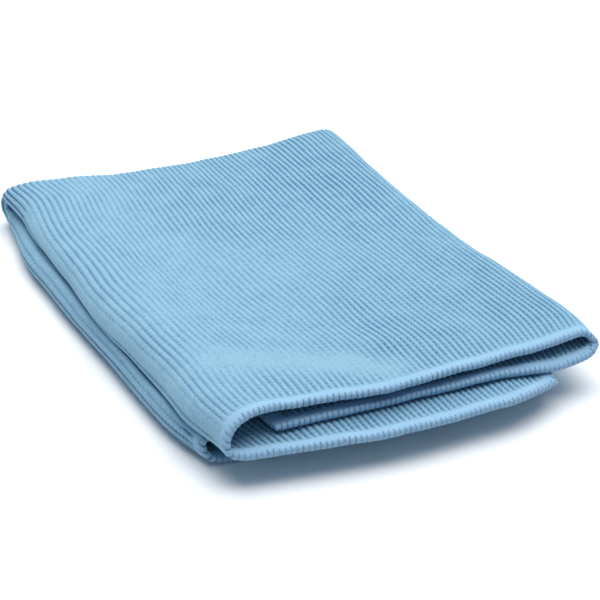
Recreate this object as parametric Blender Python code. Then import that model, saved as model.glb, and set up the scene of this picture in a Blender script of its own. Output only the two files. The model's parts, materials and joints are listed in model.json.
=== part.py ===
"""A square ribbed microfibre cloth, folded and lying on a surface.

The cloth is one closed sheet. Its ribs run from front to back. The right third and then the left third are
folded in over the middle, along the ribs, and that strip is folded in half at the back, across the ribs.
So an upper and a lower pack of three layers lie on each other.

Lengths are in millimetres until the mesh is written in metres. x runs to the right across the ribs, y away
from the front hems along the ribs, z up. A place on the cloth is (u, v): u is the length across the ribs
from the crown of the left fold of the top layer, v the length along the ribs from the front hem.
"""
import math

import bmesh
import bpy
import numpy as np

MM = 0.001

# The cloth
CLOTH_LENGTH = 398.0        # along the ribs, hem to hem
THICKNESS = 1.9             # over the ribs' crests
RIB_PITCH = 2.15
RIB_DEPTH = 0.42
HEM_WIDTH = 4.6             # the overlocked band round the edge
HEM_THICKNESS = 2.4
HEM_STEP_DOWN = 1.2         # over which the hem thins to the cloth
EDGE_ROUNDING = 0.9         # how far in from the edge the hem reaches its thickness

# The folds
PARTING = 8.6               # height of the plane between the upper and the lower pack
CREASE_Y = 200.2            # centre line of the back fold, at its foremost place
CREASE_MIDDLE = 62.0        # x of that place
CREASE_BOW = 4.6            # how far the back fold bows away ...
CREASE_BOW_REACH = 58.0     # ... at this distance to either side
CENTRE = (66.175, 102.84)     # middle of the folded cloth, which is put at the origin

# The section across the ribs, one row for each place that shapes it: the three layers and two side folds of
# a pack, from the bottom layer's free edge round the left fold, along the top layer, round the right fold
# and back to the middle layer's free edge. h is the distance from the parting plane. The columns are the
# upper pack at its front hem, the same layers in the back fold, and the lower pack at its front hem.
SECTION_COLUMNS = ("front_x", "front_h", "front_y", "turn_x", "turn_h", "low_x", "low_h", "low_y")
SECTION = (
    ("bottom layer, free edge", 121.6, 1.6, -2.4, 122.0, 1.6, 119.0, 1.6, 13.0),
    ("bottom layer, right", 105.0, 1.6, -8.6, 105.0, 1.6, 103.0, 1.6, 8.0),
    ("bottom layer, middle right", 82.0, 1.6, -10.5, 82.0, 1.6, 82.0, 1.6, 6.0),
    ("bottom layer, middle", 56.0, 1.6, -10.9, 56.0, 1.6, 56.0, 1.6, 5.0),
    ("bottom layer, left", 30.0, 1.6, -7.9, 30.0, 1.6, 30.0, 1.6, 7.0),
    ("left fold, start", 12.0, 1.6, -5.0, 10.0, 1.6, 12.0, 1.6, 10.0),
    ("left fold, low", 5.2, 1.6, -3.8, -2.4, 1.6, 0.4, 1.6, 13.0),
    ("left fold, side low", 2.0, 2.6, -2.2, -7.4, 1.95, -4.8, 0.3, 13.4),
    ("left fold, side", 2.0, 5.2, -0.4, -9.0, 3.8, -6.4, 2.8, 12.4),
    ("left fold, side high", 4.8, 8.8, 1.6, -6.6, 6.6, -5.2, 6.1, 10.4),
    ("left fold, crown", 11.0, 11.0, 3.4, 0.0, 7.6, 3.0, 7.5, 9.2),
    ("top layer, left", 20.0, 10.9, 5.0, 9.8, 7.65, 14.0, 7.65, 11.0),
    ("top layer, dip", 40.0, 9.6, 4.6, 31.6, 7.65, 40.0, 7.65, 13.0),
    ("top layer, middle left", 58.0, 9.2, 3.0, 51.3, 7.65, 58.0, 7.65, 14.0),
    ("top layer, middle right", 85.0, 9.2, 4.6, 80.8, 7.65, 82.0, 7.65, 16.0),
    ("top layer, right", 112.0, 9.2, 6.0, 110.6, 7.65, 104.0, 7.65, 18.0),
    ("right fold, crown", 130.0, 9.8, 6.9, 130.6, 7.65, 118.0, 7.65, 20.0),
    ("right fold, side high", 137.6, 9.3, 7.2, 138.5, 7.4, 125.0, 7.3, 19.0),
    ("right fold, side", 140.6, 6.8, 4.2, 141.3, 6.0, 128.0, 6.0, 17.0),
    ("right fold, low", 137.8, 4.6, 2.2, 138.5, 4.6, 125.0, 4.6, 15.0),
    ("middle layer, right", 127.0, 4.2, 0.8, 129.0, 4.4, 115.0, 4.4, 14.0),
    ("middle layer, middle right", 100.0, 4.4, 2.6, 100.0, 4.4, 90.0, 4.4, 12.0),
    ("middle layer, middle left", 60.0, 4.4, 2.8, 60.0, 4.4, 50.0, 4.4, 11.0),
    ("middle layer, free edge", 20.0, 4.4, 3.4, 24.0, 4.4, 14.0, 4.4, 11.0),
)


def section_row(name):
    return [row[0] for row in SECTION].index(name)


CROWN_ROW = section_row("left fold, crown")

# How far the side folds bow sideways along their length, one row for each distance y from the front:
# the upper pack's left fold, the lower pack's left fold, the upper pack's right fold.
BOW_COLUMNS = ("y", "left_upper", "left_lower", "right_upper")
BOWS = (
    (-12.0, 0.0, 8.0, 0.0),
    (2.0, -1.6, 7.6, 0.0),
    (22.0, -5.7, 1.5, 3.1),
    (42.0, -5.3, -1.1, 1.9),
    (68.0, -5.5, -2.1, 0.0),
    (98.0, -5.2, -3.3, -2.2),
    (130.0, -2.0, -4.5, -2.2),
    (164.0, -0.1, -4.2, -2.2),
    (182.0, 1.5, -1.3, -1.6),
    (198.0, 0.0, 0.0, 0.0),
)
LOW_FOLD_TO = 150.0         # y up to which the lower pack keeps the heights of its front section
LEFT_REACH = (6.0, 46.0)    # x from which the left bow fades, and where it has gone
RIGHT_REACH = (92.0, 132.0)

# Soft swells and dips of the pile: x, y, reach along x, reach along y, height at the top of the pile
SWELLS = (
    (12.0, 192.0, 20.0, 26.0, 1.9),      # left end of the back fold
    (140.0, 192.0, 34.0, 36.0, 2.6),     # right end of the back fold
    (4.0, 96.0, 12.0, 70.0, 1.2),        # crown of the left fold
    (40.0, 120.0, 20.0, 60.0, -0.9),     # trough beside it
    (86.0, 70.0, 30.0, 26.0, 0.8),       # swell in the top panel
    (96.0, 128.0, 26.0, 30.0, -0.6),     # dip in the top panel
    (136.0, 34.0, 16.0, 30.0, 0.9),      # right fold, near its front
    (122.0, -5.0, 9.0, 8.0, -3.0),       # drooping corner of the bottom layer
)
PILE_HEIGHT = 18.0          # a swell's height fades from this height down to nothing at the surface below

# The mesh
SAMPLES_PER_ROW = 40
STEP = 0.4                  # distance for measuring slopes
FOLD_STEP = 2.15            # column spacing round a fold where ribs are hidden
PLAIN_STEP = 21.5           # column spacing on flat hidden layers
HEM_STEP = 4.3              # column spacing on the front edges
HEM_ROWS = (EDGE_ROUNDING, HEM_WIDTH, HEM_WIDTH + HEM_STEP_DOWN)
UPPER_ROWS = (0.07, 0.2, 0.38, 0.57, 0.76, 0.92)
TURN_STEPS = 7
LOWER_ROWS = (0.92, 0.84, 0.7, 0.5, 0.28, 0.1)
BOTTOM_LAYER_RIBS_TO = 0.1  # ribs of the bottom layer's upper face show up to this share of its length
SHARP_ANGLE = 30.0          # degrees; the ribs' crests and grooves are sharper than this


def smooth_curve(points):
    """Sample a smooth curve through the points; return length along it and its samples."""
    points = np.asarray(points, float)
    knots = np.concatenate(([0.0], np.cumsum(np.linalg.norm(np.diff(points, axis=0), axis=1) ** 0.5)))
    slopes = np.gradient(points, knots, axis=0)
    runs = []
    for i in range(len(points) - 1):
        span = knots[i + 1] - knots[i]
        t = np.arange(SAMPLES_PER_ROW)[:, None] / SAMPLES_PER_ROW
        runs.append((2 * t**3 - 3 * t**2 + 1) * points[i] + (t**3 - 2 * t**2 + t) * span * slopes[i]
                    + (3 * t**2 - 2 * t**3) * points[i + 1] + (t**3 - t**2) * span * slopes[i + 1])
    curve = np.concatenate(runs + [points[-1:]])
    length = np.concatenate(([0.0], np.cumsum(np.linalg.norm(np.diff(curve, axis=0), axis=1))))
    return length, curve


class Section:
    """The section across the ribs at one place: x and h as functions of u.

    like is a section whose ribs pass this one at the same rows of the table, a little closer or wider apart.
    """

    spare = 60.0            # straight run past either free edge

    def __init__(self, x_column, h_column, like=None):
        columns = [1 + SECTION_COLUMNS.index(name) for name in (x_column, h_column)]
        length, curve = smooth_curve([[row[c] for c in columns] for row in SECTION])
        u = length - length[CROWN_ROW * SAMPLES_PER_ROW] if like is None else like.u[1:-1]
        self.row_u = u[::SAMPLES_PER_ROW]
        self.u = np.concatenate(([u[0] - self.spare], u, [u[-1] + self.spare]))
        self.x = np.concatenate(([curve[0, 0] + self.spare], curve[:, 0], [curve[-1, 0] - self.spare]))
        self.h = np.concatenate((curve[:1, 1], curve[:, 1], curve[-1:, 1]))

    def __call__(self, u):
        return np.interp(u, self.u, self.x), np.interp(u, self.u, self.h)


FRONT = Section("front_x", "front_h")
TURN = Section("turn_x", "turn_h", FRONT)
LOW = Section("low_x", "low_h")
U_FIRST, U_LAST = FRONT.row_u[0], FRONT.row_u[-1]
LEFT_FOLD = (FRONT.row_u[section_row("left fold, start")], FRONT.row_u[section_row("top layer, left")])
RIGHT_FOLD = (FRONT.row_u[section_row("right fold, crown")], FRONT.row_u[section_row("middle layer, right")])


def bow(y, name):
    """Sideways bow of a fold at y, smooth between the table's rows."""
    curve = BOW_CURVES[name]
    return np.interp(y, curve[:, 0], curve[:, 1])


BOW_CURVES = {name: smooth_curve([(row[0], row[BOW_COLUMNS.index(name)]) for row in BOWS])[1]
              for name in BOW_COLUMNS[1:]}


def ease(t):
    t = np.clip(t, 0.0, 1.0)
    return t * t * (3.0 - 2.0 * t)


def hem_curve(section, column):
    """Where a front hem lies along y, for each u."""
    ys = [row[1 + SECTION_COLUMNS.index(column)] for row in SECTION]
    return smooth_curve(list(zip(section.row_u, ys)))[1]


FRONT_HEM = hem_curve(FRONT, "front_y")
LOW_HEM = hem_curve(LOW, "low_y")


def front_y(u):
    return np.interp(u, FRONT_HEM[:, 0], FRONT_HEM[:, 1])


def low_y(u):
    return np.interp(u, LOW_HEM[:, 0], LOW_HEM[:, 1])


def straight_length(u):
    """Length along the ribs from the upper front hem to the start of the back fold."""
    return CREASE_Y - front_y(u)


def turn_length(u):
    return math.pi * TURN(u)[1]


def middle_surface(u, v):
    """The sheet's middle surface at (u, v): an array of places with x, y and z in its last axis."""
    front_x, front_h = FRONT(u)
    turn_x, turn_h = TURN(u)
    low_x, low_h = LOW(u)
    straight = straight_length(u)
    turn = turn_length(u)
    upper = v < straight
    lower = v > straight + turn
    stretch = (CREASE_Y - low_y(u)) / (CLOTH_LENGTH - straight - turn)
    y = np.where(upper, front_y(u) + v, CREASE_Y - (v - straight - turn) * stretch)
    angle = np.clip((v - straight) / turn_h, 0.0, math.pi)
    share = ease(y / CREASE_Y)
    low_share = ease((y - LOW_FOLD_TO) / (CREASE_Y - LOW_FOLD_TO))
    x = np.where(upper, front_x + (turn_x - front_x) * share,
                 np.where(lower, low_x + (turn_x - low_x) * share, turn_x))
    h = np.where(upper, front_h + (turn_h - front_h) * share,
                 np.where(lower, low_h + (turn_h - low_h) * low_share, turn_h))
    left = 1.0 - ease((x - LEFT_REACH[0]) / (LEFT_REACH[1] - LEFT_REACH[0]))
    right = ease((x - RIGHT_REACH[0]) / (RIGHT_REACH[1] - RIGHT_REACH[0]))
    x = x + np.where(upper, left * bow(y, "left_upper") + right * bow(y, "right_upper"),
                     np.where(lower, left * bow(y, "left_lower"), 0.0))
    y = np.where(upper | lower, y, CREASE_Y + turn_h * np.sin(angle))
    return settle(x, y, PARTING + h * np.cos(angle))


def settle(x, y, z):
    """Bow the back fold and swell the pile; what lies on the surface stays flat there."""
    toward_back = np.clip(y / CREASE_Y, 0.0, None) ** 2
    y = y + toward_back * CREASE_BOW * ((x - CREASE_MIDDLE) / CREASE_BOW_REACH) ** 2
    rise = sum(height * np.exp(-((x - sx) / reach_x) ** 2 - ((y - sy) / reach_y) ** 2)
               for sx, sy, reach_x, reach_y, height in SWELLS)
    return np.stack([x, y, z * (1.0 + rise / PILE_HEIGHT)], axis=-1)


def outward(u, v):
    """Unit normal of the face that is outside in the side folds."""
    across = middle_surface(u + STEP, v) - middle_surface(u - STEP, v)
    along = middle_surface(u, v + STEP) - middle_surface(u, v - STEP)
    normal = np.cross(across, along)
    return normal / np.linalg.norm(normal, axis=-1, keepdims=True)


def edge_distance(u, v):
    """Distance on the cloth from the nearest edge."""
    return np.minimum(np.minimum(v, CLOTH_LENGTH - v), np.minimum(u - U_FIRST, U_LAST - u))


def face(u, v, side, ribbed):
    """Points of the outer (side = 1) or the inner (side = -1) face."""
    from_edge = edge_distance(u, v)
    in_hem = 1.0 - ease((from_edge - HEM_WIDTH) / HEM_STEP_DOWN)
    half = 0.5 * (THICKNESS + (HEM_THICKNESS - THICKNESS) * in_hem)
    groove = 0.5 - 0.5 * np.cos(2.0 * math.pi * u / RIB_PITCH)
    half = half - ribbed * RIB_DEPTH * groove * (1.0 - in_hem)
    half = half * np.sqrt(np.clip(from_edge / EDGE_ROUNDING, 0.0, 1.0))
    places = middle_surface(u, v) + side * half[..., None] * outward(u, v)
    places[..., 2] = np.maximum(places[..., 2], 0.0)
    return places


def columns(ribbed_ranges, plain_step=PLAIN_STEP):
    """Places u of a row: crest and groove of each rib in the ranges, and wider steps elsewhere."""
    half_pitch = 0.5 * RIB_PITCH
    places = {U_FIRST, U_LAST}
    for distance in HEM_ROWS:
        places.update((U_FIRST + distance, U_LAST - distance))
    first = U_FIRST + HEM_ROWS[-1] + 0.5 * half_pitch
    last = U_LAST - HEM_ROWS[-1] - 0.5 * half_pitch
    for k in range(math.ceil(first / half_pitch), math.floor(last / half_pitch) + 1):
        u = k * half_pitch
        if any(low <= u <= high for low, high in ribbed_ranges):
            places.add(u)
        elif any(low <= u <= high for low, high in (LEFT_FOLD, RIGHT_FOLD)) and (
                k % round(FOLD_STEP / half_pitch) == 0):
            places.add(u)
        elif k % round(plain_step / half_pitch) == 0:
            places.add(u)
    return np.array(sorted(places))


def rows():
    """Each row across the cloth: v as a function of u, and the ribbed ranges of its outer and inner face."""
    outside = [(LEFT_FOLD[0], RIGHT_FOLD[1])]
    folds = [LEFT_FOLD, RIGHT_FOLD]
    bottom_layer = [(U_FIRST, LEFT_FOLD[0])]

    def hem(distance):
        return lambda u: np.full_like(u, distance)

    def upper(share):
        return lambda u: share * straight_length(u)

    def turn(share):
        return lambda u: straight_length(u) + share * turn_length(u)

    def lower(share):
        return lambda u: CLOTH_LENGTH - share * (CLOTH_LENGTH - straight_length(u) - turn_length(u))

    result = [(hem(distance), outside, bottom_layer) for distance in HEM_ROWS]
    result += [(upper(share), outside, bottom_layer if share < BOTTOM_LAYER_RIBS_TO else [])
               for share in UPPER_ROWS]
    result += [(turn(k / TURN_STEPS), outside, []) for k in range(TURN_STEPS)]
    result += [(turn(1.0), folds, [])]
    result += [(lower(share), folds, []) for share in LOWER_ROWS]
    result += [(hem(CLOTH_LENGTH - distance), folds, []) for distance in reversed(HEM_ROWS)]
    return result


def stitch(mesh, row_a, row_b, flip):
    """Fill between two rows of (u, vertex) that share their first and last u."""
    i = j = 0
    while i < len(row_a) - 1 or j < len(row_b) - 1:
        if j == len(row_b) - 1:
            step_a = True
        elif i == len(row_a) - 1:
            step_a = False
        else:
            step_a = (row_a[i + 1][0], row_a[i][0]) <= (row_b[j + 1][0], row_b[j][0])
        if step_a:
            corners = (row_a[i][1], row_a[i + 1][1], row_b[j][1])
            i += 1
        else:
            corners = (row_a[i][1], row_b[j + 1][1], row_b[j][1])
            j += 1
        if len(set(corners)) == 3:
            mesh.faces.new(corners[::-1] if flip else corners)


def cloth_mesh():
    mesh = bmesh.new()

    def add(places):
        return [mesh.verts.new(((x - CENTRE[0]) * MM, (y - CENTRE[1]) * MM, z * MM)) for x, y, z in places]

    def edge_row(v):
        u = np.delete(columns([], HEM_STEP), [1, -2])
        return list(zip(u, add(face(u, np.full_like(u, v), 1, 0.0))))

    first = edge_row(0.0)
    last = edge_row(CLOTH_LENGTH)
    outer, inner = [first], [first]
    for place, outer_ribs, inner_ribs in rows():
        ends = np.array([U_FIRST, U_LAST])
        end_verts = add(face(ends, place(ends), 1, 0.0))
        for built, side, ribs in ((outer, 1, outer_ribs), (inner, -1, inner_ribs)):
            u = columns(ribs)[1:-1]
            ribbed = np.zeros_like(u)
            for low, high in ribs:
                ribbed[(u >= low) & (u <= high)] = 1.0
            verts = add(face(u, place(u), side, ribbed))
            built.append([(U_FIRST, end_verts[0])] + list(zip(u, verts)) + [(U_LAST, end_verts[1])])
    outer.append(last)
    inner.append(last)
    for built, flip in ((outer, False), (inner, True)):
        for row_a, row_b in zip(built, built[1:]):
            stitch(mesh, row_a, row_b, flip)
    data = bpy.data.meshes.new("cloth")
    mesh.to_mesh(data)
    mesh.free()
    return data


def microfibre():
    material = bpy.data.materials.new("light blue microfibre")
    material.use_nodes = True
    shader = material.node_tree.nodes["Principled BSDF"]
    shader.inputs["Base Color"].default_value = (0.287, 0.521, 0.694, 1.0)
    shader.inputs["Roughness"].default_value = 0.95
    shader.inputs["Metallic"].default_value = 0.0
    return material


def main():
    for item in list(bpy.data.objects):
        bpy.data.objects.remove(item)
    cloth = bpy.data.objects.new("cloth", cloth_mesh())
    cloth.data.materials.append(microfibre())
    cloth.data.shade_smooth()
    cloth.data.set_sharp_from_angle(angle=math.radians(SHARP_ANGLE))
    bpy.context.scene.collection.objects.link(cloth)


main()
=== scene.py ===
"""Looks of a square ribbed microfibre cloth, folded and lying on a pale surface.

The cloth is one sheet on the folds of its solid. The right third and then the left third are folded in
over the middle, along the ribs, and that strip is folded in half at the back. The ribs, the uneven folds
and the overlocked edge are modelled. The knit's loops and the nap are in the materials. The colour also
holds painted shade: the grooves are darker partly for their darker knit and partly as painted shade, and
each loop is painted darker at its ends and lighter in its middle.

Lengths are in millimetres until a mesh is written, which is in metres. x runs to the right across the
ribs, y away from the front hems along the ribs, and z up. A place on the cloth is (u, v): u is the length
across the ribs from the crown of the top layer's left fold, v the length along them from the front hem.
"""
import json
import math

import bpy
import numpy as np
from mathutils import Matrix, Vector

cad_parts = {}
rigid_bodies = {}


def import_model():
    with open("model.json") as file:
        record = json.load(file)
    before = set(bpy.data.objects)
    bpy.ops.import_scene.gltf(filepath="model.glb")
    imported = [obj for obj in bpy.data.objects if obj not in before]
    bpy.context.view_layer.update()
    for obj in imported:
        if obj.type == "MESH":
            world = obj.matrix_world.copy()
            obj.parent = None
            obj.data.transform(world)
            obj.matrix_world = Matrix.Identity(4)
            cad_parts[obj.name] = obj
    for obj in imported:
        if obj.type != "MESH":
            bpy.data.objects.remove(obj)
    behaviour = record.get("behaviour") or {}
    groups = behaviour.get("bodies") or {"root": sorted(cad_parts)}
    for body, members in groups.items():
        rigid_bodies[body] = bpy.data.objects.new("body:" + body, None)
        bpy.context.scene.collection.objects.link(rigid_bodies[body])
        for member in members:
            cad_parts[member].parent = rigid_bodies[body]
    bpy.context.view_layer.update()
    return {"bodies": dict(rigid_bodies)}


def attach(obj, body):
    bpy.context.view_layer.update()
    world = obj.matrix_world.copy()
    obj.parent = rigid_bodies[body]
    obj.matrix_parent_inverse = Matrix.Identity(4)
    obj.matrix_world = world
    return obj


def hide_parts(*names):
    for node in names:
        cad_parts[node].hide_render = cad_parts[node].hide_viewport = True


MM = 0.001                  # in metres

# The cloth
CLOTH_LENGTH = 398.0        # along the ribs
THICKNESS = 1.9             # over the ribs' crests
RIB_PITCH = 2.15
RIB_DEPTH = 0.62
CREST_POWER = 0.6           # the lower, the broader the crests and the narrower the grooves
INNER_RIBS = 1.15           # depth of the ribs of the inner face, as a share of the outer ones'
HEM_WIDTH = 3.9             # the overlocked band round the edge
HEM_CORE = 2.2              # thickness of the cloth inside the overlock threads
HEM_STEP_DOWN = 2.4         # over which the cloth takes its thickness past the hem
EDGE_ROUNDING = 0.9         # how far in from the edge the cloth reaches its thickness

# The folds
PARTING = 8.6               # height of the plane between the upper and the lower pack
CREASE_Y = 200.2            # centre line of the back fold, at its foremost place
CREASE_MIDDLE = 62.0        # x of that place
CREASE_BOW = 4.6            # how far the back fold bows away ...
CREASE_BOW_REACH = 58.0     # ... at this distance to either side
CENTRE = (66.175, 102.84)   # middle of the folded cloth, which is at the origin

# The section across the ribs, one row for each place that shapes it. The rows follow the three layers and
# two side folds of a pack: from the bottom layer's free edge round the left fold, along the top layer,
# round the right fold and back to the middle layer's free edge. The columns are the upper pack at its
# front hem, the same layers in the back fold, and the lower pack at its front hem. h is the distance from
# the parting plane, and y is where the hem lies.
SECTION_COLUMNS = ("front_x", "front_h", "front_y", "turn_x", "turn_h", "low_x", "low_h", "low_y")
SECTION = (
    ("bottom layer, free edge", 121.6, 1.6, -2.4, 122.0, 1.6, 119.0, 1.6, 13.0),
    ("bottom layer, right", 105.0, 1.6, -8.6, 105.0, 1.6, 103.0, 1.6, 8.0),
    ("bottom layer, middle right", 82.0, 1.6, -10.5, 82.0, 1.6, 82.0, 1.6, 6.0),
    ("bottom layer, middle", 56.0, 1.6, -10.9, 56.0, 1.6, 56.0, 1.6, 5.0),
    ("bottom layer, left", 30.0, 1.6, -7.9, 30.0, 1.6, 30.0, 1.6, 7.0),
    ("left fold, start", 12.0, 1.6, -5.0, 10.0, 1.6, 12.0, 1.6, 10.0),
    ("left fold, low", 5.2, 1.6, -3.8, -2.4, 1.6, 0.4, 1.6, 13.0),
    ("left fold, side low", 2.0, 2.6, -2.2, -7.4, 1.95, -4.8, 0.3, 13.4),
    ("left fold, side", 2.0, 5.2, -0.4, -9.0, 3.8, -6.4, 2.8, 12.4),
    ("left fold, side high", 4.8, 8.8, 1.6, -6.6, 6.6, -5.2, 6.1, 10.4),
    ("left fold, crown", 11.0, 11.0, 3.4, 0.0, 7.6, 3.0, 7.5, 9.2),
    ("top layer, left", 20.0, 10.9, 5.0, 9.8, 7.65, 14.0, 7.65, 11.0),
    ("top layer, dip", 40.0, 9.6, 4.6, 31.6, 7.65, 40.0, 7.65, 13.0),
    ("top layer, middle left", 58.0, 9.2, 3.0, 51.3, 7.65, 58.0, 7.65, 14.0),
    ("top layer, middle right", 85.0, 9.2, 4.6, 80.8, 7.65, 82.0, 7.65, 16.0),
    ("top layer, right", 112.0, 9.2, 6.0, 110.6, 7.65, 104.0, 7.65, 18.0),
    ("right fold, crown", 130.0, 9.8, 6.9, 130.6, 7.65, 118.0, 7.65, 20.0),
    ("right fold, side high", 137.6, 9.3, 7.2, 138.5, 7.4, 125.0, 7.3, 19.0),
    ("right fold, side", 140.6, 6.8, 4.2, 141.3, 6.0, 128.0, 6.0, 17.0),
    ("right fold, low", 137.8, 4.6, 2.2, 138.5, 4.6, 125.0, 4.6, 15.0),
    ("middle layer, right", 127.0, 4.2, 0.8, 129.0, 4.4, 115.0, 4.4, 14.0),
    ("middle layer, middle right", 100.0, 4.4, 2.6, 100.0, 4.4, 90.0, 4.4, 12.0),
    ("middle layer, middle left", 60.0, 4.4, 2.8, 60.0, 4.4, 50.0, 4.4, 11.0),
    ("middle layer, free edge", 20.0, 4.4, 3.4, 24.0, 4.4, 14.0, 4.4, 11.0),
)


def section_row(name):
    return [row[0] for row in SECTION].index(name)


CROWN_ROW = section_row("left fold, crown")

# How far the side folds bow sideways along their length, one row for each distance y from the front:
# the upper pack's left fold, the lower pack's left fold, the upper pack's right fold.
BOW_COLUMNS = ("y", "left_upper", "left_lower", "right_upper")
BOWS = (
    (-12.0, 0.0, 8.0, 0.0),
    (2.0, -1.6, 7.6, 0.0),
    (22.0, -5.7, 1.5, 3.1),
    (42.0, -5.3, -1.1, 1.9),
    (68.0, -5.5, -2.1, 0.0),
    (98.0, -5.2, -3.3, -2.2),
    (130.0, -2.0, -4.5, -2.2),
    (164.0, -0.1, -4.2, -2.2),
    (182.0, 1.5, -1.3, -1.6),
    (198.0, 0.0, 0.0, 0.0),
)
LOW_FOLD_TO = 150.0         # y up to which the lower pack keeps the heights of its front section
LEFT_REACH = (6.0, 46.0)    # x from which the left bow fades, and where it has gone
RIGHT_REACH = (92.0, 132.0)     # x at which the right bow starts, and where it is full

# Soft swells and dips of the pile: x, y, reach along x, reach along y, height at the top of the pile
SWELLS = (
    (12.0, 192.0, 20.0, 26.0, 1.9),      # left end of the back fold
    (140.0, 192.0, 34.0, 36.0, 2.6),     # right end of the back fold
    (4.0, 96.0, 12.0, 70.0, 1.2),        # crown of the left fold
    (40.0, 120.0, 20.0, 60.0, -0.9),     # trough beside it
    (86.0, 70.0, 30.0, 26.0, 0.8),       # swell in the top panel
    (96.0, 128.0, 26.0, 30.0, -0.6),     # dip in the top panel
    (136.0, 34.0, 16.0, 30.0, 0.9),      # right fold, near its front
    (122.0, -5.0, 9.0, 8.0, -3.0),       # drooping corner of the bottom layer
)
PILE_HEIGHT = 18.0          # a swell's height fades from this height down to nothing at the surface below

# Soft creases of the sheet, as segments on it: u and v of both ends, reach to either side, height outward
CREASES = (
    (14.0, 42.0, 60.0, 28.0, 8.0, 0.6),          # ridge across the front of the top panel
    (60.0, 28.0, 98.0, 14.0, 9.0, 0.5),
    (50.0, 52.0, 88.0, 40.0, 8.0, -0.35),        # trough behind it
    (-16.5, 262.0, -16.5, 380.0, 2.6, 0.65),     # shoulder of the lower pack, against the upper one
    (-16.0, 208.0, -16.5, 246.0, 3.4, 0.9),      # the same, pinched together near the back fold
    (-15.0, 160.0, -15.5, 204.0, 3.4, 0.5),
    (-14.0, 200.0, -4.0, 214.0, 8.0, -0.8),      # the back fold's left end, drawn in
)
# Long waves of the sheet: height, wavelength along u, wavelength along v, phase in turns
RELIEF_WAVES = (
    (0.10, 31.0, 57.0, 0.13),
    (0.08, -23.0, 41.0, 0.47),
    (0.05, 17.0, -29.0, 0.81),
    (0.04, 11.0, 19.0, 0.29),
)
# How far ribs stray sideways: distance, wavelength along u, wavelength along v, phase in turns
DRIFT_WAVES = (
    (0.22, 160.0, 94.0, 0.05),
    (0.12, -83.0, 47.0, 0.52),
    (0.06, 37.0, 23.0, 0.31),
)
# Where ribs stray further: u and v of the middle, reach along u, reach along v, distance
STRAYS = (
    (120.0, 135.0, 32.0, 85.0, 7.0),     # along the right fold
    (38.0, 192.0, 50.0, 54.0, 5.0),      # towards the back fold
    (34.0, 84.0, 14.0, 34.0, -2.4),      # left of the middle
    (8.0, 80.0, 10.0, 55.0, 2.0),        # beside the left fold
    (-12.0, 130.0, 10.0, 40.0, -2.0),    # side of the left fold
    (84.0, 20.0, 24.0, 26.0, 2.5),       # in front of the middle
    (16.0, -4.0, 30.0, 16.0, -2.4),      # front left
)
STRAY_ENDS = (-44.0, 158.0, 36.0)    # u where straying starts and ends, and over which length it fades

# Where ribs lie flatter or deeper, as segments on the sheet: u and v of both ends, reach, change in depth
RIB_CHANGES = (
    (-9.6, 6.0, -9.6, 176.0, 2.9, -0.9),         # worn smooth along the left fold's shoulder
    (-13.6, 10.0, -13.6, 180.0, 2.6, 0.6),       # deep on its side
    (-20.0, 226.0, -20.0, 385.0, 8.0, 0.7),      # deep on the lower pack's side
    (-15.6, 214.0, -15.6, 385.0, 2.2, -1.2),     # flat where it meets the upper pack
    (8.0, 34.0, 42.0, 20.0, 8.0, -0.85),         # pressed smooth across the front of the top panel
    (42.0, 20.0, 54.0, 10.0, 6.0, -0.6),
    (10.0, 74.0, 30.0, 120.0, 20.0, -0.4),       # worn in its middle and towards the left
    (34.0, 50.0, 60.0, 96.0, 22.0, -0.3),
    (14.0, 150.0, 20.0, 190.0, 18.0, -0.3),
    (-20.0, 198.0, -4.0, 208.0, 9.0, 1.0),       # opened by the turn at the back fold's left end
    (100.0, 145.0, 108.0, 190.0, 30.0, 0.3),
    (116.0, 16.0, 118.0, 60.0, 14.0, 0.2),
    (-6.0, 4.0, 4.0, 40.0, 12.0, -0.3),          # softer near the front of the left fold
    (64.0, 28.0, 78.0, 22.0, 9.0, 0.3),
)
# The same depth, passed to the material, also scales the painted shade in the grooves
RIB_DEPTH_RANGE = (0.08, 2.2)
THINNEST = 0.12             # least distance from the sheet's middle to the ground of a groove

# The cloth's mesh
SAMPLES_PER_ROW = 40        # samples of a smooth curve between two rows of its table
STEP = 0.4                  # distance for measuring slopes
# Places of points across a rib, in pitches from its crest
FINE_RIB = (0.0, 0.22, 0.38, 0.5, 0.62, 0.78)
PLAIN_RIB = (0.0, 0.3, 0.5, 0.7)
HIDDEN_RIBS = 4             # ribs between points where no rib shows
TURNING_RIBS = 1            # the same in a hidden side fold
EDGE_STEP = 2.15            # spacing of points along the front edges
# Distances of rows and columns of points from an edge
HEM_ROWS = (
    0.3,
    EDGE_ROUNDING,
    2.2,
    HEM_WIDTH,
    HEM_WIDTH + 0.5 * HEM_STEP_DOWN,
    HEM_WIDTH + HEM_STEP_DOWN,
)
HEM_CLEARANCE = 0.1 * RIB_PITCH     # least distance between the last of these columns and a rib's points
UPPER_STEP = 2.9            # row spacing along the ribs on the upper pack
LOWER_STEP = 7.5            # the same on the lower pack
TURN_STEPS = 17             # rows round the back fold
INSIDE_SHOWS_TO = 33.0      # the inner faces show up to this far behind the front hems

# The overlock: stitches over the edge, from their inner end on the band round the rim to the underside
STITCH_PITCH = 1.88
STITCH_REACH = 2.6          # distance of a stitch's inner ends from the edge
STITCH_SLANT = 1.3          # how far its two ends are apart along the edge
STITCH_SIDES = 6            # of a thread's section
CORNER_FREE = 1.0           # no stitch lies this close to a corner
BAND_HALF = 1.07            # height of a thread's centre line over the sheet's middle, on the band
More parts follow.
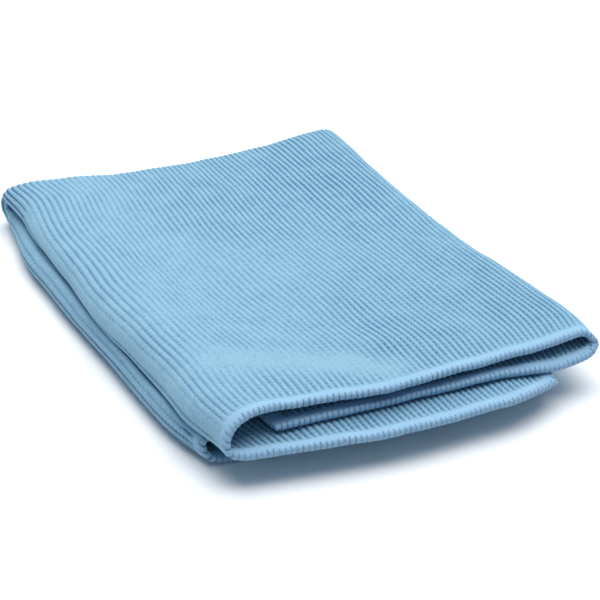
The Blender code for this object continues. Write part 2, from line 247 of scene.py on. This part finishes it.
# Its points on the band: distance out from the inner end, and height over BAND_HALF
STITCH_ON_BAND = ((0.0, -0.45), (0.7, -0.03), (1.3, 0.03))
RIM_RADIUS = 1.1            # of the centre line round the rim
RIM_STANDS_OUT = 0.12       # how far that line passes the edge of the cloth
RIM_DEGREES = (70.0, 35.0, 0.0)     # its points there, as angles up from the sheet's middle
THREAD_WIDTH_ON_BAND = 2.2
THREAD_WIDTH_AT_RIM = 2.0
THREAD_WIDTH_AT_END = 0.6   # as a share of the width on the band
THREAD_THICKNESS_ON_BAND = 0.20
THREAD_THICKNESS_AT_RIM = 0.28
# Where the one becomes the other, on the way from the inner end (0) to the rim (1)
WIDTH_CHANGES = (0.3125, 0.9375)
THICKNESS_CHANGES = (0.3, 0.8)
BESIDE = 0.5                # distance along the edge for finding a thread's width direction
# Spreads of the stitches' places along the edge and, as shares, of their slants, heights and widths
PLACE_SPREAD = 0.04
SLANT_SPREAD = 0.06
HEIGHT_SPREAD = 0.03
WIDTH_SPREAD = 0.04
SEED = 7

# Colours
CREST_BLUE = (0.250, 0.448, 0.565)
# The grooves' blue is the darker knit at their bottom, darkened further as painted shade
SHADED_GROOVE_BLUE = (0.026, 0.146, 0.325)
THREAD_BLUE = (0.285, 0.475, 0.650)
THREAD_SHADE = (0.175, 0.340, 0.520)
BAND_COLOUR_TO = HEM_WIDTH + 0.2    # how far in from the edge the cloth has the threads' colour

# Sheen of the fibres
SHEEN_BLUE = (0.70, 0.86, 1.0)
SHEEN = 0.25
SHEEN_ROUGHNESS = 0.45
SPECULAR = 0.2

# Noises in the materials, in ripples to a metre
# The patches make the painted shade in the grooves lighter or darker, and shift the loops
PATCH_SCALE = 60.0          # patches where the grooves are lighter or darker
NAP_SCALE = 110.0           # strokes of the nap
FUZZ_SCALE = 900.0          # fibres
CLOTH_FUZZ = 0.7            # how much the finest fibres show on the cloth
THREAD_FUZZ = 0.6           # the same on the threads

# The knit's loops. A loop's value runs from 0 at its ends to 0.5 in its middle.
LOOP_LENGTH = 2.1           # along a rib
LOOP_SHIFT = 0.27           # from rib to rib, in loops
LOOP_STRAY = 1.5            # with the patches, in loops
# Painted shade in the grooves: how narrow it is, and its darker spots at the ends of the loops
GROOVE_POWER = 2.2          # the higher, the narrower the dark of a groove
GROOVE_SHADE_DOTS = 0.5                  # darkness of a groove at the ends of a loop
GROOVE_SHADE_DOTS_BY_LOOP = 1.6
GROOVE_SHADE_DOTS_BY_PATCH = 1.3

# Shade of the cloth, from the shaded grooves' blue (0) to the crests' blue (1). It holds painted shade,
# deepest in the grooves and at the ends of the loops and lighter in the loops' middles, and the random
# tone of the nap and the fibres.
CLOTH_SHADE = 0.93
CLOTH_SHADE_BY_GROOVE = -0.72
CLOTH_SHADE_BY_NAP = 0.34
# Painted light: each loop's middle is lighter than its ends, following its bump
CLOTH_SHADE_BY_LOOP = 0.12
CLOTH_BUMP = 0.00025        # in metres
CLOTH_BUMP_BY_LOOP = 0.7
CLOTH_BUMP_BY_FUZZ = 0.9
CLOTH_ROUGHNESS = 0.9

# Shade of a thread, from THREAD_SHADE (0) to THREAD_BLUE (1)
STRANDS = 9.0               # round a thread
STITCH_SHADE = 0.72
STITCH_SHADE_BY_FUZZ = 0.6
STITCH_SHADE_BY_STRAND = 0.35
STITCH_BUMP = 0.00015       # in metres
STITCH_ROUGHNESS = 0.85

# Floor, its lengths in metres
FLOOR_GREY = 0.94
FLOOR_ROUGHNESS = 0.9
FLOOR_HALF = 4.0
FLOOR_DROP = 0.0001         # keeps the floor out of the cloth's flat underside

# Light: an even pale sky and one large soft lamp that faces the origin
SKY_COLOUR = (0.66, 0.86, 1.12)
SKY_STRENGTH = 0.30
LAMP_PLACE = (0.36, 0.6, 1.6)       # in metres
LAMP_SIZE = 2.5                     # in metres
LAMP_WATTS = 66.0
LAMP_COLOUR = (1.0, 0.98, 0.95)

# Camera: focal length in pixels of the 600 px picture, and where it stands
PICTURE = 600.0
FOCAL_PX = 1650.0
CAMERA_AZIMUTH = math.radians(26.18)
CAMERA_ELEVATION = math.radians(28.06)
CAMERA_ROLL = math.radians(1.28)
CAMERA_TARGET = (74.0, 100.75, 0.0)
CAMERA_DISTANCE = 626.3
NEAREST = 0.01              # in metres
SENSOR = 36.0


# ---------------------------------------------------------------- the sheet's folds

def smooth_curve(points):
    """Sample a smooth curve through the points; return length along it and its samples."""
    points = np.asarray(points, float)
    knots = np.concatenate(([0.0], np.cumsum(np.linalg.norm(np.diff(points, axis=0), axis=1) ** 0.5)))
    slopes = np.gradient(points, knots, axis=0)
    runs = []
    for i in range(len(points) - 1):
        span = knots[i + 1] - knots[i]
        t = np.arange(SAMPLES_PER_ROW)[:, None] / SAMPLES_PER_ROW
        runs.append((2 * t**3 - 3 * t**2 + 1) * points[i] + (t**3 - 2 * t**2 + t) * span * slopes[i]
                    + (3 * t**2 - 2 * t**3) * points[i + 1] + (t**3 - t**2) * span * slopes[i + 1])
    curve = np.concatenate(runs + [points[-1:]])
    length = np.concatenate(([0.0], np.cumsum(np.linalg.norm(np.diff(curve, axis=0), axis=1))))
    return length, curve


class Section:
    """The section across the ribs at one place: x and h as functions of u.

    like is a section whose ribs pass the same rows of the table, there a little closer or wider apart.
    """

    spare = 60.0            # straight run past either free edge

    def __init__(self, x_column, h_column, like=None):
        chosen = [1 + SECTION_COLUMNS.index(name) for name in (x_column, h_column)]
        length, curve = smooth_curve([[row[c] for c in chosen] for row in SECTION])
        u = length - length[CROWN_ROW * SAMPLES_PER_ROW] if like is None else like.u[1:-1]
        self.row_u = u[::SAMPLES_PER_ROW]
        self.u = np.concatenate(([u[0] - self.spare], u, [u[-1] + self.spare]))
        self.x = np.concatenate(([curve[0, 0] + self.spare], curve[:, 0], [curve[-1, 0] - self.spare]))
        self.h = np.concatenate((curve[:1, 1], curve[:, 1], curve[-1:, 1]))

    def __call__(self, u):
        return np.interp(u, self.u, self.x), np.interp(u, self.u, self.h)


FRONT = Section("front_x", "front_h")
TURN = Section("turn_x", "turn_h", FRONT)
LOW = Section("low_x", "low_h")
U_FIRST, U_LAST = FRONT.row_u[0], FRONT.row_u[-1]
LEFT_FOLD = (FRONT.row_u[section_row("left fold, start")], FRONT.row_u[section_row("top layer, left")])
RIGHT_FOLD = (FRONT.row_u[section_row("right fold, crown")],
              FRONT.row_u[section_row("middle layer, right")])
BOW_CURVES = {name: smooth_curve([(row[0], row[BOW_COLUMNS.index(name)]) for row in BOWS])[1]
              for name in BOW_COLUMNS[1:]}


def bow(y, name):
    """Sideways bow of a fold at y, smooth between the table's rows."""
    curve = BOW_CURVES[name]
    return np.interp(y, curve[:, 0], curve[:, 1])


def ease(t):
    """Smooth step from 0 to 1 while t goes from 0 to 1."""
    t = np.clip(t, 0.0, 1.0)
    return t * t * (3.0 - 2.0 * t)


def hem_curve(section, column):
    """Where a front hem lies along y, for each u."""
    ys = [row[1 + SECTION_COLUMNS.index(column)] for row in SECTION]
    return smooth_curve(list(zip(section.row_u, ys)))[1]


FRONT_HEM = hem_curve(FRONT, "front_y")
LOW_HEM = hem_curve(LOW, "low_y")


def front_y(u):
    return np.interp(u, FRONT_HEM[:, 0], FRONT_HEM[:, 1])


def low_y(u):
    return np.interp(u, LOW_HEM[:, 0], LOW_HEM[:, 1])


def straight_length(u):
    """Length along the ribs from the upper front hem to the start of the back fold."""
    return CREASE_Y - front_y(u)


def turn_length(u):
    return math.pi * TURN(u)[1]


def middle_surface(u, v):
    """The sheet's middle surface at (u, v): an array of places with x, y and z in its last axis."""
    front_x, front_h = FRONT(u)
    turn_x, turn_h = TURN(u)
    low_x, low_h = LOW(u)
    straight = straight_length(u)
    turn = turn_length(u)
    upper = v < straight
    lower = v > straight + turn
    stretch = (CREASE_Y - low_y(u)) / (CLOTH_LENGTH - straight - turn)
    y = np.where(upper, front_y(u) + v, CREASE_Y - (v - straight - turn) * stretch)
    angle = np.clip((v - straight) / turn_h, 0.0, math.pi)
    share = ease(y / CREASE_Y)
    low_share = ease((y - LOW_FOLD_TO) / (CREASE_Y - LOW_FOLD_TO))
    x = np.where(upper, front_x + (turn_x - front_x) * share,
                 np.where(lower, low_x + (turn_x - low_x) * share, turn_x))
    h = np.where(upper, front_h + (turn_h - front_h) * share,
                 np.where(lower, low_h + (turn_h - low_h) * low_share, turn_h))
    left = 1.0 - ease((x - LEFT_REACH[0]) / (LEFT_REACH[1] - LEFT_REACH[0]))
    right = ease((x - RIGHT_REACH[0]) / (RIGHT_REACH[1] - RIGHT_REACH[0]))
    x = x + np.where(upper, left * bow(y, "left_upper") + right * bow(y, "right_upper"),
                     np.where(lower, left * bow(y, "left_lower"), 0.0))
    y = np.where(upper | lower, y, CREASE_Y + turn_h * np.sin(angle))
    return settle(x, y, PARTING + h * np.cos(angle))


def settle(x, y, z):
    """Bow the back fold and swell the pile; what lies on the surface stays flat there."""
    toward_back = np.clip(y / CREASE_Y, 0.0, None) ** 2
    y = y + toward_back * CREASE_BOW * ((x - CREASE_MIDDLE) / CREASE_BOW_REACH) ** 2
    rise = sum(height * np.exp(-((x - sx) / reach_x) ** 2 - ((y - sy) / reach_y) ** 2)
               for sx, sy, reach_x, reach_y, height in SWELLS)
    return np.stack([x, y, z * (1.0 + rise / PILE_HEIGHT)], axis=-1)


def outward(u, v):
    """Unit normal of the face that is outside in the side folds."""
    across = middle_surface(u + STEP, v) - middle_surface(u - STEP, v)
    along = middle_surface(u, v + STEP) - middle_surface(u, v - STEP)
    normal = np.cross(across, along)
    return normal / np.linalg.norm(normal, axis=-1, keepdims=True)


def edge_distance(u, v):
    """Distance on the cloth from the nearest edge."""
    return np.minimum(np.minimum(v, CLOTH_LENGTH - v), np.minimum(u - U_FIRST, U_LAST - u))


# ---------------------------------------------------------------- unevenness

def along_segments(u, v, table):
    """Sum of soft marks that each follow a straight segment on the sheet."""
    total = np.zeros(np.broadcast(u, v).shape)
    for u1, v1, u2, v2, reach, height in table:
        du, dv = u2 - u1, v2 - v1
        t = np.clip(((u - u1) * du + (v - v1) * dv) / (du * du + dv * dv), 0.0, 1.0)
        off = np.hypot(u - u1 - t * du, v - v1 - t * dv)
        total = total + height * np.exp(-(off / reach) ** 2)
    return total


def waves(u, v, table):
    """Sum of even waves across the sheet."""
    return sum(height * np.sin(2.0 * math.pi * (u / long_u + v / long_v + turns))
               for height, long_u, long_v, turns in table)


def relief(u, v):
    """How far the sheet stands out of its even folds."""
    return along_segments(u, v, CREASES) + waves(u, v, RELIEF_WAVES)


def drift(u, v):
    """How far a rib strays sideways."""
    start, end, fade = STRAY_ENDS
    stray = sum(distance * np.exp(-((u - middle_u) / reach_u) ** 2 - ((v - middle_v) / reach_v) ** 2)
                for middle_u, middle_v, reach_u, reach_v, distance in STRAYS)
    free = ease((u - start) / fade) * ease((end - u) / fade)
    return (stray + waves(u, v, DRIFT_WAVES)) * free


def rib_share(u, v):
    """Depth of the ribs here, as a share of their usual depth."""
    return np.clip(1.0 + along_segments(u, v, RIB_CHANGES), *RIB_DEPTH_RANGE)


def place_on_sheet(u, v, offset):
    """Places at a distance outward from the sheet's middle."""
    u = u + drift(u, v)
    places = middle_surface(u, v) + (offset + relief(u, v))[..., None] * outward(u, v)
    places[..., 2] = np.maximum(places[..., 2], 0.0)
    return places


# ---------------------------------------------------------------- the cloth's mesh

def face(u, v, side):
    """Points of the outer (side = 1) or the inner (side = -1) face, and how deep the ribs are there."""
    from_edge = edge_distance(u, v)
    in_hem = 1.0 - ease((from_edge - HEM_WIDTH) / HEM_STEP_DOWN)
    share = rib_share(u, v) * (1.0 - in_hem) * (1.0 if side > 0 else INNER_RIBS)
    groove = 1.0 - np.abs(np.cos(math.pi * u / RIB_PITCH)) ** CREST_POWER
    crest = 0.5 * (THICKNESS + (HEM_CORE - THICKNESS) * in_hem)
    half = np.maximum(crest - RIB_DEPTH * groove * share, THINNEST)
    half = half * np.sqrt(np.clip(from_edge / EDGE_ROUNDING, 0.0, 1.0))
    return place_on_sheet(u, v, side * half), share


def columns(ranges):
    """Places u of a row. Each range has its ends and the points across a rib; other ribs are hidden."""
    first = U_FIRST + HEM_ROWS[-1]
    last = U_LAST - HEM_ROWS[-1]
    places = {U_FIRST, U_LAST}
    for distance in HEM_ROWS:
        places.update((U_FIRST + distance, U_LAST - distance))
    for k in range(math.floor(first / RIB_PITCH), math.ceil(last / RIB_PITCH) + 1):
        crest = k * RIB_PITCH
        points = next((points for low, high, points in ranges if low <= crest <= high), None)
        turning = any(low <= crest <= high for low, high in (LEFT_FOLD, RIGHT_FOLD))
        if points is None and k % (TURNING_RIBS if turning else HIDDEN_RIBS) == 0:
            points = (0.0,)
        for share in points or ():
            u = crest + share * RIB_PITCH
            if first + HEM_CLEARANCE < u < last - HEM_CLEARANCE:
                places.add(u)
    return np.array(sorted(places))


def rows():
    """Each row across the cloth: v as a function of u, and the ribbed ranges of both its faces."""
    whole = (U_FIRST, U_LAST)
    top = [(LEFT_FOLD[0], RIGHT_FOLD[1], FINE_RIB)]
    bottom = [(*LEFT_FOLD, FINE_RIB), (*RIGHT_FOLD, FINE_RIB), (*whole, PLAIN_RIB)]
    front_inside = [(*whole, FINE_RIB)]
    low_inside = [(*whole, PLAIN_RIB)]

    def hem(distance):
        return lambda u: np.full_like(u, distance)

    def upper(share):
        return lambda u: share * straight_length(u)

    def turn(share):
        return lambda u: straight_length(u) + share * turn_length(u)

    def lower(share):
        return lambda u: CLOTH_LENGTH - share * (CLOTH_LENGTH - straight_length(u) - turn_length(u))

    def shares(step):
        length = straight_length(0.0)
        start = HEM_ROWS[-1] + step
        return np.linspace(start / length, 1.0, round((length - start) / step), endpoint=False)

    def if_near_hem(share, ranges):
        return ranges if share * straight_length(0.0) < INSIDE_SHOWS_TO else []

    result = [(hem(distance), top, front_inside) for distance in HEM_ROWS]
    result += [(upper(share), top, if_near_hem(share, front_inside)) for share in shares(UPPER_STEP)]
    result += [(turn(k / TURN_STEPS), top, []) for k in range(TURN_STEPS)]
    result += [(turn(1.0), bottom, [])]
    result += [(lower(share), bottom, if_near_hem(share, low_inside))
               for share in reversed(shares(LOWER_STEP))]
    result += [(hem(CLOTH_LENGTH - distance), bottom, low_inside) for distance in reversed(HEM_ROWS)]
    return result


class MeshData:
    """Vertices, faces and point values that are collected and then written as one object."""

    def __init__(self):
        self.places = []
        self.faces = []
        self.values = {}
        self.count = 0

    def add(self, places, **values):
        """Add points; return their numbers."""
        places = np.asarray(places).reshape(-1, 3)
        self.places.append(places)
        for name, value in values.items():
            self.values.setdefault(name, []).append(np.asarray(value).reshape(len(places), -1))
        self.count += len(places)
        return range(self.count - len(places), self.count)

    def object(self, name, material):
        places = (np.concatenate(self.places) - (*CENTRE, 0.0)) * MM
        data = bpy.data.meshes.new(name)
        data.from_pydata(places.tolist(), [], self.faces)
        for attribute, parts in self.values.items():
            values = np.concatenate(parts)
            kind, field = ("FLOAT", "value") if values.shape[1] == 1 else ("FLOAT_VECTOR", "vector")
            data.attributes.new(attribute, kind, "POINT").data.foreach_set(field, values.ravel())
        data.validate()
        data.shade_smooth()
        data.materials.append(material)
        made = bpy.data.objects.new(name, data)
        bpy.context.scene.collection.objects.link(made)
        return made


def fill_between(faces, row_a, row_b, flip):
    """Add the triangles between two rows of (u, point) that have the same first and last u."""
    i = j = 0
    while i < len(row_a) - 1 or j < len(row_b) - 1:
        if j == len(row_b) - 1:
            step_a = True
        elif i == len(row_a) - 1:
            step_a = False
        else:
            step_a = (row_a[i + 1][0], row_a[i][0]) <= (row_b[j + 1][0], row_b[j][0])
        if step_a:
            corners = (row_a[i][1], row_a[i + 1][1], row_b[j][1])
            i += 1
        else:
            corners = (row_a[i][1], row_b[j + 1][1], row_b[j][1])
            j += 1
        faces.append(corners[::-1] if flip else corners)


def make_cloth(material):
    mesh = MeshData()

    def add(u, v, side):
        places, share = face(u, v, side)
        coordinates = np.stack([u / RIB_PITCH, v, edge_distance(u, v)], axis=-1)
        return mesh.add(places, place=coordinates, ribs=share)

    def edge_row(v):
        between = np.arange(U_FIRST + EDGE_STEP, U_LAST - EDGE_STEP / 2, EDGE_STEP)
        u = np.concatenate(([U_FIRST], between, [U_LAST]))
        return list(zip(u, add(u, np.full_like(u, v), 1)))

    first = edge_row(0.0)
    last = edge_row(CLOTH_LENGTH)
    outer, inner = [first], [first]
    for place, outer_ranges, inner_ranges in rows():
        ends = np.array([U_FIRST, U_LAST])
        end_points = add(ends, place(ends), 1)
        for built, side, ranges in ((outer, 1, outer_ranges), (inner, -1, inner_ranges)):
            u = columns(ranges)[1:-1]
            points = add(u, place(u), side)
            built.append([(U_FIRST, end_points[0]), *zip(u, points), (U_LAST, end_points[1])])
    outer.append(last)
    inner.append(last)
    for built, flip in ((outer, False), (inner, True)):
        for row_a, row_b in zip(built, built[1:]):
            fill_between(mesh.faces, row_a, row_b, flip)
    return mesh.object("microfibre_cloth", material)


# ---------------------------------------------------------------- the overlock

def tubes(mesh, centres, across, half_widths, half_thickness, sides):
    """Add one closed tube along each row of centres, half_widths wide to either side towards across."""
    along = np.gradient(centres, axis=1)
    up = np.cross(along, across)
    up /= np.linalg.norm(up, axis=-1, keepdims=True)
    wide = np.cross(up, along)
    wide /= np.linalg.norm(wide, axis=-1, keepdims=True)
    angles = 2.0 * math.pi * np.arange(sides) / sides
    rings = (centres[:, :, None] + (half_widths[..., None] * np.cos(angles))[..., None] * wide[:, :, None]
             + (half_thickness[..., None] * np.sin(angles))[..., None] * up[:, :, None])
    rings[..., 2] = np.maximum(rings[..., 2], 0.0)
    count, stations = centres.shape[:2]
    round_tube = np.broadcast_to(angles / (2.0 * math.pi), rings.shape[:3])
    start = mesh.add(rings, around=round_tube)[0]
    for tube in range(count):
        base = start + tube * stations * sides
        mesh.faces.append(tuple(base + k for k in range(sides)))
        for ring in range(stations - 1):
            low = base + ring * sides
            for k in range(sides):
                other = (k + 1) % sides
                mesh.faces.append((low + k, low + sides + k, low + sides + other, low + other))
        mesh.faces.append(tuple(base + (stations - 1) * sides + k for k in reversed(range(sides))))


def edges_of_cloth():
    """For each edge, a function from (length along it, distance in) to (u, v), and the edge's length."""
    width = U_LAST - U_FIRST
    return (
        (lambda s, d: (U_FIRST + s, d), width),
        (lambda s, d: (U_LAST - d, s), CLOTH_LENGTH),
        (lambda s, d: (U_LAST - s, CLOTH_LENGTH - d), width),
        (lambda s, d: (U_FIRST + d, CLOTH_LENGTH - s), CLOTH_LENGTH),
    )


def stitch_path():
    """A stitch's points: distance in from the edge and height over the middle, from top to underside."""
    half = [(STITCH_REACH - out, BAND_HALF + height) for out, height in STITCH_ON_BAND]
    for degrees in RIM_DEGREES:
        angle = math.radians(degrees)
        half.append((RIM_RADIUS * (1.0 - math.cos(angle)) - RIM_STANDS_OUT, RIM_RADIUS * math.sin(angle)))
    under = [(inward, -height) for inward, height in reversed(half[:-1])]
    return np.array(half + under)


def thread_sizes(toward_rim):
    """Width and thickness of the thread at each point of a stitch."""
    start, end = WIDTH_CHANGES
    change = ease((toward_rim - start) / (end - start))
    width = THREAD_WIDTH_ON_BAND + (THREAD_WIDTH_AT_RIM - THREAD_WIDTH_ON_BAND) * change
    width[[0, -1]] *= THREAD_WIDTH_AT_END
    thicknesses = (THREAD_THICKNESS_ON_BAND, THREAD_THICKNESS_AT_RIM)
    return width, np.interp(toward_rim, THICKNESS_CHANGES, thicknesses)


def make_overlock(material):
    mesh = MeshData()
    chance = np.random.default_rng(SEED)
    inward, height = stitch_path().T
    toward_rim = 1.0 - np.clip(inward / STITCH_REACH, 0.0, 1.0)
    width, thickness = thread_sizes(toward_rim)
    sideways = 0.5 * np.sign(height) * (1.0 - toward_rim)
    for to_uv, length in edges_of_cloth():
        count = round(length / STITCH_PITCH)
        middle = (np.arange(count) + 0.5) * length / count + chance.normal(0.0, PLACE_SPREAD, count)
        middle = middle[np.minimum(middle, length - middle) > CORNER_FREE]
        from_corner = np.minimum(middle, length - middle)
        count = len(middle)
        slant = STITCH_SLANT * (1.0 + chance.normal(0.0, SLANT_SPREAD, count))
        s = middle[:, None] + slant[:, None] * sideways
        d = np.minimum(inward, from_corner[:, None])
        offset = height * (1.0 + chance.normal(0.0, HEIGHT_SPREAD, count)[:, None])
        centres = place_on_sheet(*to_uv(s, d), offset)
        beside = place_on_sheet(*to_uv(s + BESIDE, d), offset)
        half_widths = 0.5 * width * (1.0 + chance.normal(0.0, WIDTH_SPREAD, count))[:, None]
        half_thickness = np.broadcast_to(0.5 * thickness, s.shape)
        tubes(mesh, centres, beside - centres, half_widths, half_thickness, STITCH_SIDES)
    return mesh.object("overlock_threads", material)


# ---------------------------------------------------------------- materials

class Shader:
    """A material's node tree, with a short call for each node used here."""

    noise_detail = 3.0

    def __init__(self, name):
        self.material = bpy.data.materials.new(name)
        self.material.use_nodes = True
        self.tree = self.material.node_tree
        self.principled = self.tree.nodes["Principled BSDF"]

    def node(self, kind, **inputs):
        made = self.tree.nodes.new("ShaderNode" + kind)
        for name, value in inputs.items():
            self.give(made.inputs[name.replace("_", " ")], value)
        return made

    def give(self, socket, value):
        if isinstance(value, bpy.types.NodeSocket):
            self.tree.links.new(value, socket)
        else:
            socket.default_value = value

    def math(self, operation, *values):
        made = self.tree.nodes.new("ShaderNodeMath")
        made.operation = operation
        for socket, value in zip(made.inputs, values):
            self.give(socket, value)
        return made.outputs[0]

    def add(self, *values):
        total = values[0]
        for value in values[1:]:
            total = self.math("ADD", total, value)
        return total

    def times(self, *values):
        product = values[0]
        for value in values[1:]:
            product = self.math("MULTIPLY", product, value)
        return product

    def attribute(self, name):
        made = self.tree.nodes.new("ShaderNodeAttribute")
        made.attribute_name = name
        return made

    def noise(self, scale, roughness=0.5):
        """Noise around zero, from about -0.5 to 0.5, in the object's own space."""
        place = self.node("TexCoord").outputs["Object"]
        made = self.node("TexNoise", Vector=place, Scale=scale, Detail=self.noise_detail,
                         Roughness=roughness)
        return self.math("SUBTRACT", made.outputs["Fac"], 0.5)

    def mix(self, factor, low, high):
        """From low to high; each is a colour or an output."""
        made = self.tree.nodes.new("ShaderNodeMix")
        made.data_type = "RGBA"
        self.give(self.socket(made.inputs, "Factor_Float"), factor)
        for end, colour in (("A_Color", low), ("B_Color", high)):
            if isinstance(colour, tuple):
                colour = (*colour, 1.0)
            self.give(self.socket(made.inputs, end), colour)
        return self.socket(made.outputs, "Result_Color")

    @staticmethod
    def socket(sockets, identifier):
        return next(socket for socket in sockets if socket.identifier == identifier)

    def bump(self, height, distance):
        return self.node("Bump", Height=height, Distance=distance, Strength=1.0).outputs["Normal"]

    def finish(self, colour, normal, roughness):
        """Give the surface its colour and bump, and the fibres' soft sheen."""
        self.give(self.principled.inputs["Base Color"], colour)
        self.give(self.principled.inputs["Normal"], normal)
        self.principled.inputs["Roughness"].default_value = roughness
        self.principled.inputs["Specular IOR Level"].default_value = SPECULAR
        self.principled.inputs["Sheen Weight"].default_value = SHEEN
        self.principled.inputs["Sheen Roughness"].default_value = SHEEN_ROUGHNESS
        self.principled.inputs["Sheen Tint"].default_value = (*SHEEN_BLUE, 1.0)
        return self.material


def microfibre():
    """Ribs of small loops with an uneven nap and a plain band along the edge; darker in the grooves, for
    their knit and as painted shade, and each loop painted darker at its ends than in its middle.
    """
    shader = Shader("light blue microfibre")
    place = shader.node("SeparateXYZ", Vector=shader.attribute("place").outputs["Vector"])
    rib, along, from_edge = place.outputs["X"], place.outputs["Y"], place.outputs["Z"]
    depth = shader.attribute("ribs").outputs["Fac"]
    number = shader.math("ROUND", rib)
    from_crest = shader.math("PINGPONG", rib, 0.5)
    groove = shader.math("POWER", shader.times(from_crest, 2.0), GROOVE_POWER)
    patches = shader.noise(PATCH_SCALE)
    phase = shader.add(shader.times(along, 1.0 / LOOP_LENGTH), shader.times(number, LOOP_SHIFT),
                       shader.times(patches, LOOP_STRAY))
    loop = shader.math("PINGPONG", phase, 0.5)
    # Painted shade in the grooves: darker spots at the ends of the loops, stronger or weaker in patches
    shade_dots = shader.add(GROOVE_SHADE_DOTS, shader.times(loop, GROOVE_SHADE_DOTS_BY_LOOP), shader.times(patches, GROOVE_SHADE_DOTS_BY_PATCH))
    nap = shader.noise(NAP_SCALE)
    fuzz = shader.noise(FUZZ_SCALE, CLOTH_FUZZ)
    # Painted shade: the colour darkens in the grooves, in spots at the ends of the loops, and lightens in
    # each loop's middle
    shade = shader.add(CLOTH_SHADE, shader.times(groove, shade_dots, depth, CLOTH_SHADE_BY_GROOVE),
                       shader.times(nap, CLOTH_SHADE_BY_NAP), fuzz,
                       shader.times(loop, CLOTH_SHADE_BY_LOOP))
    ribbed = shader.mix(shade, SHADED_GROOVE_BLUE, CREST_BLUE)
    in_band = shader.math("LESS_THAN", from_edge, BAND_COLOUR_TO)
    colour = shader.mix(in_band, ribbed, THREAD_BLUE)
    crest = shader.math("SUBTRACT", 1.0, groove)
    height = shader.add(shader.times(loop, crest, depth, CLOTH_BUMP_BY_LOOP),
                        shader.times(fuzz, CLOTH_BUMP_BY_FUZZ))
    return shader.finish(colour, shader.bump(height, CLOTH_BUMP), CLOTH_ROUGHNESS)


def overlock_thread():
    """Soft bulked thread, a little lighter and bluer than the cloth."""
    shader = Shader("overlock thread")
    around = shader.attribute("around").outputs["Fac"]
    strands = shader.math("PINGPONG", shader.times(around, STRANDS), 0.5)
    fuzz = shader.noise(FUZZ_SCALE, THREAD_FUZZ)
    shade = shader.add(STITCH_SHADE, shader.times(fuzz, STITCH_SHADE_BY_FUZZ),
                       shader.times(strands, STITCH_SHADE_BY_STRAND))
    colour = shader.mix(shade, THREAD_SHADE, THREAD_BLUE)
    height = shader.add(strands, fuzz)
    return shader.finish(colour, shader.bump(height, STITCH_BUMP), STITCH_ROUGHNESS)


def pale_floor():
    shader = Shader("pale floor")
    shader.principled.inputs["Base Color"].default_value = (FLOOR_GREY, FLOOR_GREY, FLOOR_GREY, 1.0)
    shader.principled.inputs["Roughness"].default_value = FLOOR_ROUGHNESS
    shader.principled.inputs["Specular IOR Level"].default_value = 0.0
    return shader.material


# ---------------------------------------------------------------- stage

def make_floor():
    data = bpy.data.meshes.new("floor")
    signs = ((-1, -1), (1, -1), (1, 1), (-1, 1))
    corners = [(x * FLOOR_HALF, y * FLOOR_HALF, -FLOOR_DROP) for x, y in signs]
    data.from_pydata(corners, [], [(0, 1, 2, 3)])
    data.materials.append(pale_floor())
    floor = bpy.data.objects.new("floor", data)
    bpy.context.scene.collection.objects.link(floor)


def make_camera():
    azimuth, elevation, roll = CAMERA_AZIMUTH, CAMERA_ELEVATION, CAMERA_ROLL
    forward = Vector((math.sin(azimuth) * math.cos(elevation), math.cos(azimuth) * math.cos(elevation),
                      -math.sin(elevation)))
    level_right = Vector((math.cos(azimuth), -math.sin(azimuth), 0.0))
    level_up = level_right.cross(forward)
    right = math.cos(roll) * level_right + math.sin(roll) * level_up
    up = math.cos(roll) * level_up - math.sin(roll) * level_right
    target = (Vector(CAMERA_TARGET) - Vector((*CENTRE, 0.0))) * MM
    place = target - forward * CAMERA_DISTANCE * MM
    data = bpy.data.cameras.new("camera")
    data.sensor_width = SENSOR
    data.lens = SENSOR * FOCAL_PX / PICTURE
    data.clip_start = NEAREST
    camera = bpy.data.objects.new("camera", data)
    turned = Matrix((right, up, -forward)).transposed().to_4x4()
    camera.matrix_world = Matrix.Translation(place) @ turned
    bpy.context.scene.collection.objects.link(camera)
    bpy.context.scene.camera = camera


def make_lights():
    world = bpy.data.worlds.new("room")
    world.use_nodes = True
    background = world.node_tree.nodes["Background"]
    background.inputs["Color"].default_value = (*SKY_COLOUR, 1.0)
    background.inputs["Strength"].default_value = SKY_STRENGTH
    bpy.context.scene.world = world
    data = bpy.data.lights.new("key", "AREA")
    data.size = LAMP_SIZE
    data.energy = LAMP_WATTS
    data.color = LAMP_COLOUR
    lamp = bpy.data.objects.new("key", data)
    lamp.location = LAMP_PLACE
    lamp.rotation_euler = (-Vector(LAMP_PLACE)).to_track_quat("-Z", "Y").to_euler()
    bpy.context.scene.collection.objects.link(lamp)
    bpy.context.scene.view_settings.view_transform = "Standard"


def main():
    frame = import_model()
    body = next(iter(frame["bodies"]))
    make_camera()
    make_lights()
    make_floor()
    cloth = make_cloth(microfibre())
    overlock = make_overlock(overlock_thread())
    for piece in (cloth, overlock):
        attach(piece, body)
    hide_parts("cloth")


main()
